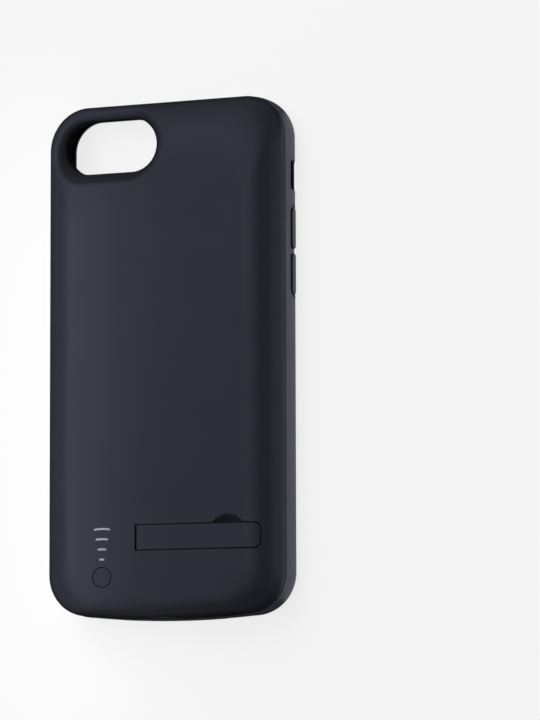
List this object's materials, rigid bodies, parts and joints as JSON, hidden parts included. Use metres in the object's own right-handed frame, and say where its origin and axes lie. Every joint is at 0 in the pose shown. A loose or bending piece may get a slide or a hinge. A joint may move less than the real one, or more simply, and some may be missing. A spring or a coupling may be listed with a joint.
{
  "type": "phone battery charging case",
  "caption": "Slim battery case for a phone: crowned rear shell with a flared camera window, folding stand, charge lights and power button on a rubber bumper with key covers.",
  "frame": {"origin": "under the middle of the case, in the plane of the front lip that it lies on", "axes": "+Y towards the camera end, +Z from the front lip to the crowned rear face, +X to the wall with the volume keys"},
  "size_m": [0.0724, 0.1452, 0.0175],
  "materials": {
    "shell_plastic": "soft-touch matte dark blue-grey",
    "frame_rubber": "matte dark grey, slightly lighter than the shell",
    "key_rubber": "matte dark grey",
    "tray_plastic": "moulded black",
    "steel": "bright",
    "gold_contact": "gold-plated",
    "clear_guide": "milky translucent",
    "led_white": "white",
    "chip_black": "black moulded",
    "ferrite": "grey ferrite",
    "ceramic": "tan ceramic",
    "cell_foil": "satin foil",
    "white_tape": "double-sided tape",
    "foam": "closed-cell foam",
    "board_green": "solder-masked board",
    "lead_red": "wire sleeve",
    "lead_black": "wire sleeve"
  },
  "bodies": {
    "case": {"rear_shell": "shell_plastic", "bumper_frame": "frame_rubber", "inner_tray": "tray_plastic", "plug_holder": "tray_plastic", "stand_pin": "steel", "charge_port_shell": "steel", "phone_plug": "steel", "plug_contacts": "gold_contact", "light_guide": "clear_guide", "indicator_leds": "led_white", "tact_switch": "chip_black", "charge_controller": "chip_black", "charge_port_tongue": "chip_black", "boost_inductor": "ferrite", "board_capacitors": "ceramic", "battery_cell": "cell_foil", "cell_tape": "white_tape", "cell_foam_pad": "foam", "cell_board": "board_green", "main_board": "board_green", "plug_board": "board_green", "battery_lead_positive": "lead_red", "battery_lead_negative": "lead_black"},
    "stand": {"kickstand": "shell_plastic"},
    "power_key": {"power_button": "shell_plastic", "switch_plunger": "chip_black"},
    "volume_up_key": {"volume_up_button": "key_rubber"},
    "volume_down_key": {"volume_down_button": "key_rubber"},
    "side_key": {"side_key_button": "key_rubber"}
  },
  "joints": [
    {"name": "stand_hinge", "type": "hinge", "parent": "case", "child": "stand", "pos_m": [-0.0047, -0.0499, 0.0166], "axis": [0, -1, 0], "range_deg": [0, 65]},
    {"name": "power_press", "type": "slide", "parent": "case", "child": "power_key", "axis": [0, 0, -1], "range_m": [0, 0.0003], "stiffness_N_per_m": 1500},
    {"name": "volume_up_press", "type": "slide", "parent": "case", "child": "volume_up_key", "axis": [-1, 0, 0], "range_m": [0, 0.00035], "stiffness_N_per_m": 1500},
    {"name": "volume_down_press", "type": "slide", "parent": "case", "child": "volume_down_key", "axis": [-1, 0, 0], "range_m": [0, 0.00035], "stiffness_N_per_m": 1500},
    {"name": "side_press", "type": "slide", "parent": "case", "child": "side_key", "axis": [1, 0, 0], "range_m": [0, 0.00035], "stiffness_N_per_m": 1500}
  ]
}
